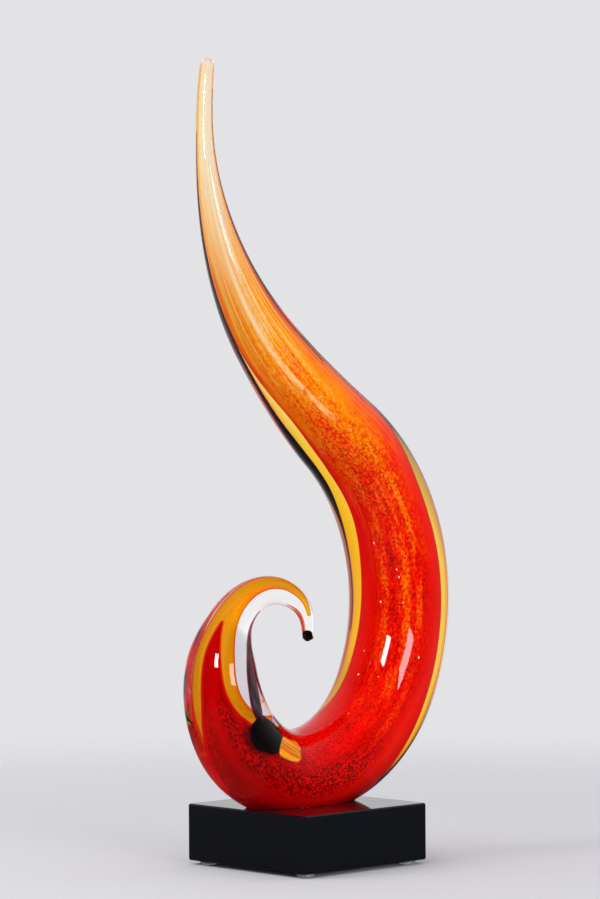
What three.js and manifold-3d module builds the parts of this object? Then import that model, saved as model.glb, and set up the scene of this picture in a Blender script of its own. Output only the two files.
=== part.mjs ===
import * as THREE from "three";
import { mergeVertices } from "three/addons/utils/BufferGeometryUtils.js";
import Module from "manifold-3d";

// A flame of hot-worked glass on a black crystal block: red and amber glass cased in clear,
// drawn out into a bent rod, ground flat underneath and glued down.
// Lengths are in millimetres and angles in degrees. The flame lies in the XZ plane,
// with its curl towards -X, its belly towards +X and its front towards -Y.

// Block
const BLOCK_SIDE = 120;
const BLOCK_HEIGHT = 40;
const BLOCK_ARRIS = 1;

// Bumpers under the block's corners
const BUMPER_DIAMETER = 12;
const BUMPER_HEIGHT = 3;
const BUMPER_INSET = 10.5;
const BUMPER_ROUNDING = 0.9;

// The joint between flame and block
const GRIND_DEPTH = 9.8; // how much of the round underside is ground away
const GRIND_INTO_RED = 0.6; // how far that grinding goes into the red glass
const ADHESIVE_THICKNESS = 0.3;
const FLAME_SHIFT = -11.5; // the foot's lowest point, from the middle of the block

// The rod's line and girth. Each bend gives its radius, how far it turns and the radius
// of the rod's round section where the bend ends. A negative bend turns the other way.
const FOOT_GIRTH = 31.5;
const BODY = [
  { name: "rise", bend: 100, turn: 63, girth: 36 },
  { name: "belly", bend: 145, turn: 43, girth: 36.5 },
  { name: "shoulder", bend: 147, turn: 37, girth: 33 },
  { name: "waist", bend: -510, turn: 11, girth: 23.5 },
  { name: "neck", bend: -221, turn: 36.5, girth: 7 },
  { name: "point", bend: -259, turn: 14.5, girth: 5 },
];
const HOOK = [
  { name: "heel", bend: 68, turn: 53, girth: 30.5 },
  { name: "back", bend: 79, turn: 42.5, girth: 24 },
  { name: "turn", bend: 61, turn: 25.5, girth: 16.5 },
  { name: "crown", bend: 45, turn: 93.5, girth: 7.5 },
  { name: "lip", bend: 24, turn: 50, girth: 4.8 },
  { name: "end", bend: 90, turn: 6, girth: 3.9 },
];

// The layers of colour. `at` is a place on the rod: 0 is the foot, 1 the point of the body
// and -1 the end of the hook. `share` is the layer's radius, `reach` how far its middle
// lies from the rod's own, both as shares of the rod's radius there, and `round` the
// direction of that reach, from the inside of the curl towards the front.
const LAYER_GAP = 0.3; // between one layer and the next
const OUTSIDE = 180;
const RED_FOOT_SHARE = (FOOT_GIRTH - GRIND_DEPTH + GRIND_INTO_RED) / FOOT_GIRTH;
const RED_SIDE = 148; // up the body the red slumps off the middle, this way
const RED = [
  { at: -0.575, share: 0.07, reach: 0.3, round: OUTSIDE },
  { at: -0.5, share: 0.18, reach: 0.27, round: OUTSIDE },
  { at: -0.38, share: 0.26, reach: 0.2, round: OUTSIDE },
  { at: -0.27, share: 0.44, reach: 0.1, round: OUTSIDE },
  { at: -0.17, share: 0.57, reach: 0, round: OUTSIDE },
  { at: 0, share: RED_FOOT_SHARE, reach: 0, round: OUTSIDE },
  { at: 0.12, share: 0.57, reach: 0.01, round: RED_SIDE },
  { at: 0.23, share: 0.52, reach: 0.02, round: RED_SIDE },
  { at: 0.4, share: 0.42, reach: 0.035, round: RED_SIDE },
  { at: 0.5, share: 0.48, reach: 0.09, round: RED_SIDE },
  { at: 0.57, share: 0.46, reach: 0.11, round: RED_SIDE },
  { at: 0.66, share: 0.5, reach: 0.05, round: RED_SIDE },
  { at: 0.78, share: 0.48, reach: 0.03, round: RED_SIDE },
  { at: 0.93, share: 0.36, reach: 0.01, round: RED_SIDE },
];
const AMBER_BODY = [
  { at: 0.095, share: 0.65, reach: 0, round: OUTSIDE },
  { at: 0.5, share: 0.65, reach: 0, round: OUTSIDE },
  { at: 0.97, share: 0.65, reach: 0, round: OUTSIDE },
];
const AMBER_HOOK = [
  { at: -0.935, share: 0.14, reach: 0.3, round: OUTSIDE },
  { at: -0.8, share: 0.26, reach: 0.32, round: OUTSIDE },
  { at: -0.64, share: 0.36, reach: 0.24, round: OUTSIDE },
  { at: -0.5, share: 0.42, reach: 0.2, round: OUTSIDE },
  { at: -0.38, share: 0.45, reach: 0.17, round: OUTSIDE },
  { at: -0.25, share: 0.62, reach: 0.03, round: OUTSIDE },
];
const DARK_BODY = [
  { at: 0.25, share: 0.04, reach: 0.67, round: -52 },
  { at: 0.45, share: 0.075, reach: 0.65, round: -56 },
  { at: 0.57, share: 0.075, reach: 0.64, round: -52 },
  { at: 0.76, share: 0.07, reach: 0.65, round: -60 },
  { at: 0.92, share: 0.07, reach: 0.67, round: -66 },
];
const INLAY_JOINT = { at: -0.14, share: 0.17, reach: 0.66, round: 68 };
const DARK_HOOK = [
  { at: -1, share: 0.3, reach: 0.42, round: -25 },
  { at: -0.85, share: 0.14, reach: 0.55, round: 0 },
  { at: -0.55, share: 0.08, reach: 0.62, round: 32 },
  { at: -0.38, share: 0.12, reach: 0.62, round: 52 },
  { at: -0.26, share: 0.19, reach: 0.64, round: 79 },
  INLAY_JOINT, // here the inlay changes from dark to amber
];
const AMBER_INLAY = [
  INLAY_JOINT,
  { at: -0.04, share: 0.1, reach: 0.68, round: 54 },
];

// How finely the solids are faceted
const CASING_FACETS = { sides: 24, step: 14, turn: 8 };
const LAYER_FACETS = { sides: 12, step: 22, turn: 12 };
const STREAK_FACETS = { sides: 6, step: 22, turn: 12 };
const BUMPER_SIDES = 20;

const UP = new THREE.Vector3(0, 0, 1);
const FRONT = new THREE.Vector3(0, -1, 0);

const wasm = await Module();
wasm.setup();

// Lays a run of bends end to end, from the foot's middle and a heading in the XZ plane.
function layBends(bends, heading, side) {
  let turned = heading;
  let length = 0;
  const at = new THREE.Vector2(0, FOOT_GIRTH - GRIND_DEPTH);
  return bends.map((b) => {
    const arc = {
      begin: length,
      length: Math.abs(b.bend) * THREE.MathUtils.degToRad(b.turn),
      curvature: side / b.bend,
      heading: turned,
      start: at.clone(),
      turn: b.turn,
      girth: b.girth,
    };
    at.copy(pointOnArc(arc, arc.length));
    turned += arc.curvature * arc.length;
    length += arc.length;
    return arc;
  });
}

function pointOnArc(arc, along) {
  const end = arc.heading + arc.curvature * along;
  return new THREE.Vector2(
    arc.start.x + (Math.sin(end) - Math.sin(arc.heading)) / arc.curvature,
    arc.start.y - (Math.cos(end) - Math.cos(arc.heading)) / arc.curvature,
  );
}

const bodyArcs = layBends(BODY, 0, 1);
const hookArcs = layBends(HOOK, Math.PI, -1);
const lengthOf = (arcs) => arcs.reduce((sum, arc) => sum + arc.length, 0);
const BODY_LENGTH = lengthOf(bodyArcs);
const HOOK_LENGTH = lengthOf(hookArcs);
const placeOnRod = (at) => at * (at < 0 ? HOOK_LENGTH : BODY_LENGTH);

// The rod's middle, its direction towards the point and the inside of its curve, at a
// distance from the foot that is negative on the hook's side.
function rodAt(place) {
  const onHook = place < 0;
  const along = Math.abs(place);
  const arcs = onHook ? hookArcs : bodyArcs;
  const arc = arcs.find((a) => along <= a.begin + a.length) ?? arcs.at(-1);
  const p = pointOnArc(arc, along - arc.begin);
  const heading = arc.heading + arc.curvature * (along - arc.begin);
  const direction = new THREE.Vector3(Math.cos(heading), 0, Math.sin(heading));
  if (onHook) direction.negate();
  const inside = new THREE.Vector3().crossVectors(FRONT, direction);
  return { middle: new THREE.Vector3(p.x, 0, p.y), direction, inside };
}

function smoothTable(places, rows) {
  const width = rows[0].length;
  return new THREE.CubicInterpolant(places, rows.flat(), width);
}

const girthTable = smoothTable(
  [
    ...hookArcs.map((a) => -a.begin - a.length).reverse(),
    0,
    ...bodyArcs.map((a) => a.begin + a.length),
  ],
  [...hookArcs.map((a) => a.girth).reverse(), FOOT_GIRTH, ...bodyArcs.map((a) => a.girth)].map(
    (girth) => [girth],
  ),
);
const girthAt = (place) => girthTable.evaluate(place)[0];

// Where the rings of a solid go: at the ends of each bend, and evenly between them.
function ringPlaces(from, to, facets) {
  const places = [];
  const cover = (arcs, sign) => {
    for (const arc of arcs) {
      const low = Math.max(sign > 0 ? from : -to, arc.begin);
      const high = Math.min(sign > 0 ? to : -from, arc.begin + arc.length);
      if (high <= low) continue;
      const turn = (arc.turn * (high - low)) / arc.length;
      const steps = Math.ceil(Math.max((high - low) / facets.step, turn / facets.turn));
      for (let i = 0; i <= steps; i++)
        places.push(sign * THREE.MathUtils.lerp(low, high, i / steps));
    }
  };
  cover(hookArcs, -1);
  cover(bodyArcs, 1);
  places.sort((a, b) => a - b);
  return places.filter((place, i) => i === 0 || place - places[i - 1] > 0.01);
}

// Joins rings of points, and a pole at each end, into one closed surface.
function closeRings(rings, startPole, endPole) {
  const sides = rings[0].length;
  const points = [...rings.flat(), startPole, endPole];
  const startIndex = points.length - 2;
  const endIndex = points.length - 1;
  const index = [];
  for (let k = 0; k < sides; k++) {
    const next = (k + 1) % sides;
    const last = (rings.length - 1) * sides;
    index.push(startIndex, next, k, endIndex, last + k, last + next);
    for (let r = 0; r < rings.length - 1; r++) {
      const a = r * sides;
      const b = a + sides;
      index.push(a + k, a + next, b + next, a + k, b + next, b + k);
    }
  }
  const geometry = new THREE.BufferGeometry().setFromPoints(points);
  geometry.setIndex(index);
  return geometry;
}

// A round-sectioned solid drawn along the rod. `section` gives the ring at a place:
// its radius, and how far its middle lies from the rod's. `swell` makes it that much
// larger all over, for the hollow that the same layer leaves in its neighbours.
function drawAlongRod({ from, to, section, facets, roundStart, roundEnd }, swell = 0) {
  const ring = (place, slide, squeeze) => {
    const { middle, direction, inside } = rodAt(place);
    const { radius, reach, round } = section(place);
    const towards = THREE.MathUtils.degToRad(round);
    const centre = middle
      .addScaledVector(inside, reach * Math.cos(towards))
      .addScaledVector(FRONT, reach * Math.sin(towards))
      .addScaledVector(direction, slide);
    return Array.from({ length: facets.sides }, (_, k) => {
      const angle = (2 * Math.PI * k) / facets.sides;
      return centre
        .clone()
        .addScaledVector(inside, (radius + swell) * squeeze * Math.cos(angle))
        .addScaledVector(FRONT, (radius + swell) * squeeze * Math.sin(angle));
    });
  };
  const middleOf = (points) =>
    points.reduce((sum, p) => sum.add(p), new THREE.Vector3()).divideScalar(points.length);
  const places = ringPlaces(from, to, facets);
  const inner = places.slice(1, -1).map((place) => ring(place, 0, 1));
  const cap = (place, sign, roundness) => {
    const bulge = section(place).radius * roundness;
    const at = (angle) => {
      const a = THREE.MathUtils.degToRad(angle);
      return ring(place, sign * (bulge * Math.sin(a) + swell), Math.cos(a));
    };
    const rings = roundness > 0 ? [at(0), at(35), at(65)] : [at(0)];
    return { rings, pole: middleOf(ring(place, sign * (bulge + swell), 1)) };
  };
  const start = cap(places[0], -1, roundStart);
  const end = cap(places.at(-1), 1, roundEnd);
  return closeRings([...start.rings.reverse(), ...inner, ...end.rings], start.pole, end.pole);
}

// A layer of colour, whose sizes are shares of the rod's radius.
function layerOf(stations, facets, { roundStart = 1, roundEnd = 1 } = {}) {
  const places = stations.map((s) => placeOnRod(s.at));
  const table = smoothTable(
    places,
    stations.map((s) => [s.share, s.reach, s.round]),
  );
  const section = (place) => {
    const girth = girthAt(place);
    const [share, reach, round] = table.evaluate(place);
    return { radius: share * girth, reach: reach * girth, round };
  };
  return { from: places[0], to: places.at(-1), section, facets, roundStart, roundEnd };
}

function toSolid(geometry) {
  const bare = geometry.clone();
  bare.deleteAttribute("normal");
  bare.deleteAttribute("uv");
  const merged = mergeVertices(bare, 1e-4);
  const mesh = new wasm.Mesh({
    numProp: 3,
    vertProperties: Float32Array.from(merged.attributes.position.array),
    triVerts: Uint32Array.from(merged.index.array),
  });
  return new wasm.Manifold(mesh);
}

function toGeometry(solid) {
  const mesh = solid.getMesh();
  const geometry = new THREE.BufferGeometry();
  geometry.setAttribute("position", new THREE.BufferAttribute(mesh.vertProperties, 3));
  geometry.setIndex(new THREE.BufferAttribute(mesh.triVerts, 1));
  geometry.computeVertexNormals();
  return geometry;
}

// A flat slab, wider than anything here, between two heights.
function slab(bottom, top) {
  const width = 4 * (BODY_LENGTH + HOOK_LENGTH);
  const box = new THREE.BoxGeometry(width, width, top - bottom);
  return toSolid(box.translate(0, 0, (bottom + top) / 2));
}

// Everything above the plane that the foot is ground to, in the flame's own frame.
const aboveGrinding = () => slab(0, BODY_LENGTH + HOOK_LENGTH);

function outerForm() {
  return toSolid(
    drawAlongRod({
      from: -HOOK_LENGTH,
      to: BODY_LENGTH,
      section: (place) => ({ radius: girthAt(place), reach: 0, round: 0 }),
      facets: CASING_FACETS,
      roundStart: 0.45,
      roundEnd: 0.6,
    }),
  );
}

const red = layerOf(RED, LAYER_FACETS);
const amberBody = layerOf(AMBER_BODY, LAYER_FACETS, { roundStart: 0 });
const amberHook = layerOf(AMBER_HOOK, LAYER_FACETS, { roundEnd: 0 });
const darkBody = layerOf(DARK_BODY, STREAK_FACETS);
const darkHook = layerOf(DARK_HOOK, STREAK_FACETS, { roundStart: 2, roundEnd: 0 });
const amberInlay = layerOf(AMBER_INLAY, STREAK_FACETS, { roundStart: 0 });
const solidOf = (layer) => toSolid(drawAlongRod(layer));
const hollowFor = (layer) => toSolid(drawAlongRod(layer, LAYER_GAP));
const joined = (solids) => solids.reduce((sum, solid) => sum.add(solid));

function clearCasing() {
  const hollow = joined([red, amberBody, amberHook, darkBody, darkHook, amberInlay].map(hollowFor));
  return outerForm().intersect(aboveGrinding()).subtract(hollow);
}

function redCore() {
  return solidOf(red)
    .subtract(hollowFor(darkHook))
    .subtract(hollowFor(amberInlay))
    .intersect(aboveGrinding());
}

function amberBodySkin() {
  return solidOf(amberBody).subtract(hollowFor(red)).subtract(hollowFor(darkBody));
}

function amberHookSkin() {
  return solidOf(amberHook).subtract(hollowFor(red)).subtract(hollowFor(darkHook));
}

function darkHookStreak() {
  return solidOf(darkHook).intersect(outerForm());
}

function amberInlayEnd() {
  const behindJoint = { ...amberInlay, from: amberInlay.from + LAYER_GAP };
  return solidOf(behindJoint);
}

// The glue fills the space under the ground foot, with the foot's own outline.
function adhesiveFilm() {
  return outerForm().intersect(slab(-ADHESIVE_THICKNESS, 0));
}

// A square block with flat polished bevels on all its edges.
function blockGeometry() {
  const half = BLOCK_SIDE / 2 - BLOCK_ARRIS;
  const outline = new THREE.Shape();
  const cut = half - BLOCK_ARRIS;
  outline.moveTo(-cut, -half);
  outline.lineTo(cut, -half);
  outline.lineTo(half, -cut);
  outline.lineTo(half, cut);
  outline.lineTo(cut, half);
  outline.lineTo(-cut, half);
  outline.lineTo(-half, cut);
  outline.lineTo(-half, -cut);
  outline.closePath();
  return new THREE.ExtrudeGeometry(outline, {
    depth: BLOCK_HEIGHT - 2 * BLOCK_ARRIS,
    bevelEnabled: true,
    bevelThickness: BLOCK_ARRIS,
    bevelSize: BLOCK_ARRIS,
    bevelSegments: 1,
  }).translate(0, 0, BLOCK_ARRIS);
}

// A low clear disc, rounded at its lower rim and flat where the adhesive side meets the block.
function bumperGeometry() {
  const radius = BUMPER_DIAMETER / 2;
  const profile = [new THREE.Vector2(0, 0)];
  for (const angle of [0, 30, 60, 90]) {
    const a = THREE.MathUtils.degToRad(angle);
    profile.push(
      new THREE.Vector2(
        radius - BUMPER_ROUNDING * (1 - Math.sin(a)),
        BUMPER_ROUNDING * (1 - Math.cos(a)),
      ),
    );
  }
  profile.push(new THREE.Vector2(radius, BUMPER_HEIGHT));
  profile.push(new THREE.Vector2(0, BUMPER_HEIGHT));
  return new THREE.LatheGeometry(profile, BUMPER_SIDES).rotateX(Math.PI / 2);
}

const clearGlass = { color: 0xeef3f4, roughness: 0.02, metalness: 0 };
const redGlass = { color: 0xd31208, roughness: 0.05, metalness: 0 };
const amberGlass = { color: 0xf2a21e, roughness: 0.05, metalness: 0 };
const aubergineGlass = { color: 0x2a0d14, roughness: 0.05, metalness: 0 };
const blackCrystal = { color: 0x0b0c0e, roughness: 0.03, metalness: 0 };
const clearAdhesive = { color: 0xdfe3e4, roughness: 0.1, metalness: 0 };
const clearRubber = { color: 0xc9cdcf, roughness: 0.35, metalness: 0 };

function namedMesh(name, geometry, finish) {
  const mesh = new THREE.Mesh(geometry, new THREE.MeshStandardMaterial(finish));
  mesh.name = name;
  return mesh;
}

// The group's origin is the middle of the underside of its bounding box.
const sculpture = new THREE.Group();
const assembly = new THREE.Group();
sculpture.add(assembly);

const block = namedMesh("base_block", blockGeometry(), blackCrystal);
block.position.copy(UP).multiplyScalar(BUMPER_HEIGHT);
assembly.add(block);

const bumperPlace = BLOCK_SIDE / 2 - BUMPER_INSET;
for (const [side, x] of Object.entries({ left: -bumperPlace, right: bumperPlace }))
  for (const [end, y] of Object.entries({ front: -bumperPlace, rear: bumperPlace })) {
    const bumper = namedMesh(`bumper_${end}_${side}`, bumperGeometry(), clearRubber);
    bumper.position.set(x, y, 0);
    assembly.add(bumper);
  }

const flame = new THREE.Group();
flame.position.set(FLAME_SHIFT, 0, BUMPER_HEIGHT + BLOCK_HEIGHT + ADHESIVE_THICKNESS);
flame.add(namedMesh("clear_casing", toGeometry(clearCasing()), clearGlass));
flame.add(namedMesh("red_core", toGeometry(redCore()), redGlass));
flame.add(namedMesh("amber_body_skin", toGeometry(amberBodySkin()), amberGlass));
flame.add(namedMesh("amber_hook_skin", toGeometry(amberHookSkin()), amberGlass));
flame.add(namedMesh("amber_inlay", toGeometry(amberInlayEnd()), amberGlass));
flame.add(namedMesh("dark_body_streak", toGeometry(solidOf(darkBody)), aubergineGlass));
flame.add(namedMesh("dark_hook_streak", toGeometry(darkHookStreak()), aubergineGlass));
flame.add(namedMesh("adhesive_film", toGeometry(adhesiveFilm()), clearAdhesive));
assembly.add(flame);

const box = new THREE.Box3().setFromObject(assembly);
const middle = box.getCenter(new THREE.Vector3());
assembly.position.set(-middle.x, -middle.y, -box.min.z);

export default sculpture;
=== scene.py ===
import math

import bmesh
import bpy
import numpy as np
from bpy.props import FloatProperty, FloatVectorProperty, IntProperty, PointerProperty
from mathutils import Matrix, Vector


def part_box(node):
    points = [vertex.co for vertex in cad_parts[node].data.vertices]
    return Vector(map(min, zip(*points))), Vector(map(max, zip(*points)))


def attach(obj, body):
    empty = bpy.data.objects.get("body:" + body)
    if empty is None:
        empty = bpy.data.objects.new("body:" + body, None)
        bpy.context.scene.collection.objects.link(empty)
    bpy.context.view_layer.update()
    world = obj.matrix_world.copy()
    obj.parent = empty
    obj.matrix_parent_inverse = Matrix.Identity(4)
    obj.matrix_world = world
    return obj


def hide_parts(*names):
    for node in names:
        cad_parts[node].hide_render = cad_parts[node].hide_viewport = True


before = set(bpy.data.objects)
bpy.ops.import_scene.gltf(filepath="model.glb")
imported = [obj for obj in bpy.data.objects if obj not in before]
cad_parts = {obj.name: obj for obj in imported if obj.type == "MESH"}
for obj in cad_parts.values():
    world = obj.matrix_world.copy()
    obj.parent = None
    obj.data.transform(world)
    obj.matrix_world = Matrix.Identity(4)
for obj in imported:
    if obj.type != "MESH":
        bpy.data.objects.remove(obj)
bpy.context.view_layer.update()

bl_info = {
    "name": "Glass flame on a black block",
    "version": (1, 0, 0),
    "blender": (4, 5, 0),
    "location": "View3D > Sidebar > Glass flame",
    "description": "Makes a cased glass flame, its block and a plain studio round the packed part",
    "category": "Add Mesh",
}

BODY = "root"
MM = 0.001

# The patterns in the glass are laid out as on a rod of this radius in mm, so that they are
# drawn finer where the rod thins.
PATTERN_GIRTH = 36

# No full ring of a form gets a radius below this, in mm.
LEAST_RADIUS = 0.02

# Degrees past the last full ring at which the rings of a rounded end stand.
END_TURNS = (12, 24, 36, 48, 60, 70, 79, 86, 89.5)

# Points round a thread or patch, a seed and a bumper, and steps in a bumper's lower rim.
THREAD_SIDES = 48
SEED_SIDES = 16
BUMPER_SIDES = 64
RIM_STEPS = 8

# Space in mm between the ruby film and the powder core.
CORE_GAP = 0.05

# The seeds lie in these ranges: place along the rod in mm, share of its radius, and degrees
# from the inside of the bend towards the front. Their reach off the middle is a share too.
SEED_PLACES = (60, 230)
SEED_SHARES = (0.006, 0.012)
SEED_TURNS = (0, 90)
SEED_REACH = 0.8
SEED_HALF_LENGTH = 0.3

# The camera: lens and sensor width in mm, a slight roll, and the shift that frames the piece,
# in rows of a picture 899 rows high.
LENS = 135.85
SENSOR_WIDTH = 36
ROLL = math.radians(0.314)
SHIFT = (-5 / 899, -19.5 / 899)

# How often light may pass or bounce in the layers of glass before it is lost.
BOUNCES = {"transparent_max_bounces": 32, "max_bounces": 16, "transmission_bounces": 12}

# In metres: how far the floor reaches, where it starts and ends to fade out, and how high
# the lamps are aimed.
FLOOR_RADIUS = 1.2
FLOOR_FADE = (0.35, 1.1)
LAMP_TARGET = 0.2

# How far to the side, from straight ahead, the room behind the glass is dark.
DARK_SIDE = math.radians(-80)

# The rod's bends, as in the solids: radius in mm (negative turns the other way), angle
# turned in degrees, and the radius of the round section where the bend ends.
BODY_BENDS = [
    (100, 63, 36),
    (145, 43, 36.5),
    (147, 37, 33),
    (-510, 11, 23.5),
    (-221, 36.5, 7),
    (-259, 14.5, 5),
]
HOOK_BENDS = [
    (68, 53, 30.5),
    (79, 42.5, 24),
    (61, 25.5, 16.5),
    (45, 93.5, 7.5),
    (24, 50, 4.8),
    (90, 6, 3.9),
]
FRONT = np.array([0.0, -1.0, 0.0])

# Where the amber gather slumped thickest, from the inside of the bends towards the front.
THICK_SIDE = math.radians(-75)

# The layers of colour, as rows of (place along the rod in mm, radius share, reach share,
# direction of the reach); layer() says what each is.
RUBY = [
    (-145, 0.07, 0.3, 180),
    (-126, 0.18, 0.27, 180),
    (-96, 0.26, 0.2, 180),
    (-68, 0.44, 0.1, 180),
    (-43, 0.57, 0, 180),
    (0, 0.708, 0, 180),
    (74, 0.57, 0.01, 160),
    (142, 0.54, 0.025, 148),
    (200, 0.515, 0.04, 148),
    (254, 0.475, 0.062, 148),
    (300, 0.51, 0.1, 148),
    (350, 0.5, 0.12, 148),
    (400, 0.55, 0.055, 148),
    (450, 0.585, 0.035, 148),
    (616, 0.6, 0.01, 148),
]
AMBER_BODY = [
    (57, 0.575, 0, 180),
    (84, 0.62, 0, 180),
    (124, 0.64, 0, 180),
    (216, 0.65, 0, 180),
    (433, 0.655, 0, 180),
    (615, 0.66, 0, 180),
]
AMBER_HOOK = [
    (-236, 0.14, 0.3, 180),
    (-202, 0.26, 0.32, 180),
    (-161, 0.36, 0.24, 180),
    (-126, 0.42, 0.2, 180),
    (-96, 0.45, 0.17, 180),
    (-63, 0.62, 0.03, 180),
]
AMBER_INLAY = [(-42, 0.05, 0.65, 60), (-25, 0.05, 0.65, 53)]
DARK_BODY = [
    (150, 0.012, 0.64, -56),
    (215, 0.018, 0.63, -56),
    (250, 0.03, 0.6, -55),
    (284, 0.06, 0.575, -56),
    (330, 0.065, 0.56, -53),
    (370, 0.04, 0.57, -53),
    (420, 0.045, 0.575, -56),
    (470, 0.05, 0.6, -62),
    (570, 0.04, 0.63, -66),
]
BROWN_EDGE = [(372, 0.015, 0.645, 152), (450, 0.03, 0.635, 155), (600, 0.035, 0.63, 158)]
DARK_PATCH = [(-74, 0.04, 0.62, 74), (-64, 0.055, 0.615, 69), (-50, 0.045, 0.62, 58)]
VIOLET_THREAD = [
    (-172, 0.04, 0.6, 25),
    (-135, 0.075, 0.585, 32),
    (-100, 0.11, 0.57, 42),
    (-84, 0.11, 0.57, 54),
    (-70, 0.05, 0.6, 66),
]
RED_THREAD = [(-249, 0.12, 0.55, 0), (-236, 0.14, 0.62, 0), (-212, 0.05, 0.68, 10)]
DARK_END = [(-252, 0.74, 0.12, 0), (-249.5, 0.66, 0.18, 0)]


def linear(code, alpha=None):
    """An sRGB hex colour as the linear values that shaders take."""
    channels = [int(code[i : i + 2], 16) / 255 for i in (1, 3, 5)]
    value = [c / 12.92 if c <= 0.04045 else ((c + 0.055) / 1.055) ** 2.4 for c in channels]
    return tuple(value) if alpha is None else (*value, alpha)


def size(name, description, default):
    """A length that a user may change, in metres."""
    return FloatProperty(name=name, description=description, default=default, unit="LENGTH")


def tint(name, description, code):
    """A colour that a user may change, given as an sRGB hex colour."""
    return FloatVectorProperty(
        name=name, description=description, default=linear(code), subtype="COLOR", min=0, max=1
    )


class FlameSizes(bpy.types.PropertyGroup):
    foot_girth: size("Foot girth", "Radius of the rod at its foot", 31.5 * MM)
    ground_off: size("Ground off", "How much of the round underside is ground away", 9.8 * MM)
    foot_shift: size("Foot shift", "The foot's lowest point, from the block's middle", -11.5 * MM)
    fit: FloatProperty(
        name="Fit", description="Share of the drawn radius, as the solid's flat facets have it",
        default=0.9945,
    )
    ring_step: size("Ring step", "Distance between the rings of the smooth rod", 2.5 * MM)
    sides: IntProperty(name="Sides", description="Points round one ring", default=96, min=12)
    seeds: IntProperty(name="Seeds", description="Tiny bubbles in the casing", default=9, min=1)
    seed_pattern: IntProperty(name="Seed pattern", description="Where the bubbles fall", default=5)


class BlockSizes(bpy.types.PropertyGroup):
    bumper_rounding: size("Bumper rounding", "Radius of a bumper's lower rim", 0.9 * MM)


class GlassColours(bpy.types.PropertyGroup):
    amber: tint("Amber", "Daylight through a millimetre of the hook's amber glass", "#FE9700")
    straw: tint("Straw", "Daylight through a millimetre of the flame's amber glass", "#FEE884")
    ruby: tint("Ruby", "Daylight through a millimetre of the ruby glass", "#FEB78C")
    aubergine: tint("Aubergine", "Daylight through a millimetre of the dark glass", "#601428")
    violet: tint("Violet", "Daylight through a millimetre of the violet glass", "#C0849A")
    black: tint("Black crystal", "The block's own colour", "#0A0D14")


class StudioSettings(bpy.types.PropertyGroup):
    daylight: FloatProperty(
        name="Daylight", description="Level of the pale surroundings", default=0.79
    )
    fill: FloatProperty(
        name="Fill", description="Level of the light that falls in", default=0.76
    )
    floor: tint("Floor", "Colour of the matt floor", "#D4D4D8")
    camera_distance: size("Camera distance", "From the lens to the block's upright axis", 2.4)
    camera_height: size("Camera height", "Lens above the floor", 306.9 * MM)
    camera_side: FloatProperty(
        name="Camera side", description="How far the camera stands to the left of the front",
        default=math.radians(43.73), subtype="ANGLE", unit="ROTATION",
    )


class Rod:
    """The bent rod that every layer of glass follows, in millimetres, in its own frame:
    the foot's ground face is at height 0 and its middle at x = 0."""

    def __init__(self, foot_girth, ground_off):
        self.foot = np.array([0.0, foot_girth - ground_off])
        self.body = self.lay(BODY_BENDS, 0.0, 1)
        self.hook = self.lay(HOOK_BENDS, math.pi, -1)
        self.body_length = self.body[-1][0] + self.body[-1][1]
        self.hook_length = self.hook[-1][0] + self.hook[-1][1]
        ends = [(-b - n, g) for b, n, *_, g in reversed(self.hook)]
        ends += [(0.0, foot_girth)] + [(b + n, g) for b, n, *_, g in self.body]
        self.girth = smooth_table(ends)

    def lay(self, bends, heading, side):
        """The arcs of a chain of bends from the foot: where each begins, its length,
        curvature, first heading and start, and the rod's radius at its end."""
        arcs = []
        begin, at = 0.0, self.foot
        for radius, turned, girth in bends:
            length = abs(radius) * math.radians(turned)
            curve = side / radius
            arcs.append((begin, length, curve, heading, at, girth))
            at = along_arc(at, heading, curve, length)
            heading += curve * length
            begin += length
        return arcs

    def at(self, s):
        """The middle, the direction towards the point and the inside of the curve."""
        arcs, along = (self.hook if s < 0 else self.body), abs(s)
        arc = next((a for a in arcs if along <= a[0] + a[1]), arcs[-1])
        begin, _, curve, heading, start, _ = arc
        x, z = along_arc(start, heading, curve, along - begin)
        turned = heading + curve * (along - begin)
        direction = np.array([math.cos(turned), 0, math.sin(turned)]) * (-1 if s < 0 else 1)
        return np.array([x, 0, z]), direction, np.cross(FRONT, direction)


def along_arc(start, heading, curve, length):
    """The point that an arc reaches from a start, a heading in radians and a curvature."""
    end = heading + curve * length
    step = np.array([math.sin(end) - math.sin(heading), math.cos(heading) - math.cos(end)])
    return start + step / curve


def smooth_table(rows):
    """A smooth curve through rows of (place, value, ...), level in curvature at its ends."""
    t = [r[0] for r in rows]
    v = [np.array(r[1:], float) for r in rows]

    def value(x):
        i = int(np.clip(np.searchsorted(t, x), 1, len(t) - 1))
        span = t[i] - t[i - 1]
        p = (min(max(x, t[0]), t[-1]) - t[i - 1]) / span
        before = (t[i - 2], v[i - 2]) if i > 1 else (t[i], v[i])
        after = (t[i + 1], v[i + 1]) if i < len(t) - 1 else (t[i - 1], v[i - 1])
        w0, w1 = span / 2 / (t[i - 1] - before[0]), span / 2 / (after[0] - t[i])
        return (
            (-w0 * p**3 + 2 * w0 * p**2 - w0 * p) * before[1]
            + ((1 + w0) * p**3 + (-1.5 - 2 * w0) * p**2 + (-0.5 + w0) * p + 1) * v[i - 1]
            + ((-1 - w1) * p**3 + (1.5 + w1) * p**2 + 0.5 * p) * v[i]
            + (w1 * p**3 - w1 * p**2) * after[1]
        )

    return value


def layer(rod, stations):
    """A layer of colour: rows of (place along the rod in mm, negative on the hook; radius
    and reach off the middle as shares of the rod's radius; direction of that reach in
    degrees, from the inside of the bend towards the front)."""
    table = smooth_table(stations)

    def section(s):
        share, reach, round_ = table(s)
        girth = rod.girth(s)[0]
        return share * girth, reach * girth, math.radians(round_)

    return {"from": stations[0][0], "to": stations[-1][0], "section": section}


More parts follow.
